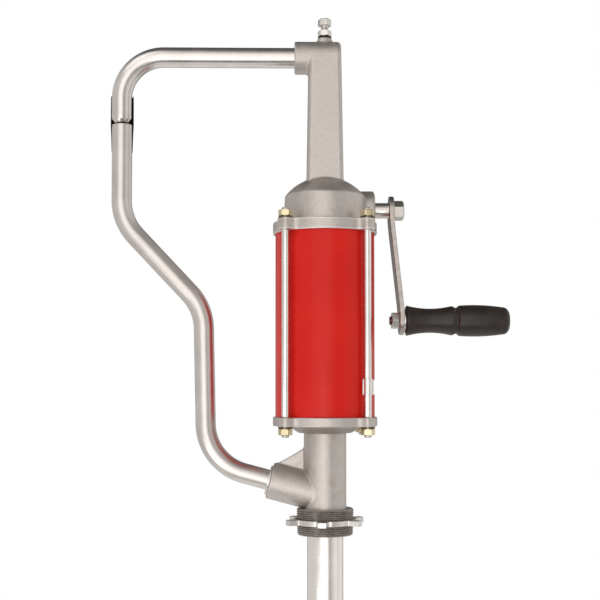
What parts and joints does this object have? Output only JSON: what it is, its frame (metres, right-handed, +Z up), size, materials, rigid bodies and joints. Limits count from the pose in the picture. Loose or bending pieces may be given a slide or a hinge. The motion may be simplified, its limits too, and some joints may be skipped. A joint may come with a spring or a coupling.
{
  "type": "hand drum pump",
  "caption": "Crank-operated rack-and-pinion drum pump with a threaded bung adaptor, piston cylinder, down-turned spout and drip-return tube.",
  "frame": {"origin": "on the cylinder's axis, at the underside of the lock ring, where it rests on the drum's top", "axes": "+Z up along the cylinder's axis, +X towards the crank, -X towards the spout, +Y towards the back of the pinion shaft"},
  "size_m": [0.4262, 0.1098, 1.0359],
  "materials": {
    "cast_aluminium": "as-cast, warm grey, bead blasted",
    "plated_tube": "bright zinc-plated steel tube",
    "bright_zinc": "bright zinc plate",
    "yellow_zinc": "yellow zinc plate",
    "machined_steel": "machined or rolled steel",
    "red_paint": "gloss red enamel",
    "black_grip": "semi-gloss black",
    "black_rubber": "matt",
    "dark_iron": "dark, lightly oiled",
    "brass": "machined"
  },
  "bodies": {
    "pump_body": {"base_casting": "cast_aluminium", "bung_adaptor": "dark_iron", "suction_tube": "plated_tube", "suction_seal": "black_rubber", "cylinder": "red_paint", "base_gasket": "black_rubber", "head_gasket": "black_rubber", "head_casting": "cast_aluminium", "tie_rod_1": "bright_zinc", "tie_rod_2": "bright_zinc", "tie_rod_3": "bright_zinc", "tie_rod_4": "bright_zinc", "top_nut_1": "yellow_zinc", "top_nut_2": "yellow_zinc", "top_nut_3": "yellow_zinc", "top_nut_4": "yellow_zinc", "bottom_nut_1": "yellow_zinc", "bottom_nut_2": "yellow_zinc", "bottom_nut_3": "yellow_zinc", "bottom_nut_4": "yellow_zinc", "top_washer_1": "yellow_zinc", "top_washer_2": "yellow_zinc", "top_washer_3": "yellow_zinc", "top_washer_4": "yellow_zinc", "bottom_washer_1": "yellow_zinc", "bottom_washer_2": "yellow_zinc", "bottom_washer_3": "yellow_zinc", "bottom_washer_4": "yellow_zinc", "rod_clip": "bright_zinc", "shaft_bush_inner": "brass", "shaft_bush_outer": "brass", "shaft_seal": "black_rubber", "spout_tube": "plated_tube", "return_tube_bush": "plated_tube", "return_tube_seal": "black_rubber", "stop_screw": "bright_zinc", "stop_screw_locknut": "bright_zinc", "stop_screw_seal": "black_rubber"},
    "lock_ring_body": {"lock_ring": "bright_zinc"},
    "crank": {"pinion_shaft": "machined_steel", "pinion": "machined_steel", "crank_arm": "machined_steel", "crank_bolt": "machined_steel", "grip_bolt": "machined_steel", "grip_nut": "bright_zinc", "grip_washer": "bright_zinc"},
    "grip_body": {"grip": "black_grip"},
    "plunger": {"rack": "machined_steel", "piston_body": "dark_iron", "piston_cup_upper": "black_rubber", "piston_cup_lower": "black_rubber", "piston_nut": "machined_steel"},
    "piston_valve": {"piston_valve_disc": "brass"},
    "return_pipe": {"return_tube": "plated_tube", "nozzle_catch": "black_rubber"},
    "suction_extension": {"suction_tube_inner": "plated_tube", "foot_valve_body": "brass", "foot_strainer": "plated_tube"},
    "foot_valve": {"foot_valve_disc": "black_rubber"}
  },
  "joints": [
    {"name": "crank_turn", "type": "hinge", "parent": "pump_body", "child": "crank", "pos_m": [0.072, 0.02, 0.3336], "axis": [-1, 0, 0], "range_deg": [0, 478.8]},
    {"name": "rack_lift", "type": "slide", "parent": "pump_body", "child": "plunger", "axis": [0, 0, 1], "range_m": [0, 0.117]},
    {"name": "piston_valve_lift", "type": "slide", "parent": "plunger", "child": "piston_valve", "axis": [0, 0, 1], "range_m": [0, 0.003]},
    {"name": "grip_spin", "type": "hinge", "parent": "crank", "child": "grip_body", "pos_m": [0.143, 0.02, 0.2148], "axis": [1, 0, 0], "continuous": true},
    {"name": "return_tube_swing", "type": "hinge", "parent": "pump_body", "child": "return_pipe", "pos_m": [-0.0583, 0, 0.0458], "axis": [-0.9659, 0, 0.2588], "range_deg": [0, 90]},
    {"name": "suction_extend", "type": "slide", "parent": "pump_body", "child": "suction_extension", "axis": [0, 0, -1], "range_m": [0, 0.36]},
    {"name": "foot_valve_lift", "type": "slide", "parent": "suction_extension", "child": "foot_valve", "axis": [0, 0, 1], "range_m": [0, 0.004]},
    {"name": "lock_ring_turn", "type": "hinge", "parent": "pump_body", "child": "lock_ring_body", "pos_m": [0, 0, 0.0031], "axis": [0, 0, 1], "range_deg": [-360, 360]}
  ],
  "couplings": [
    {"joint": "rack_lift", "follows": "crank_turn", "m_per_rad": 0.014}
  ]
}
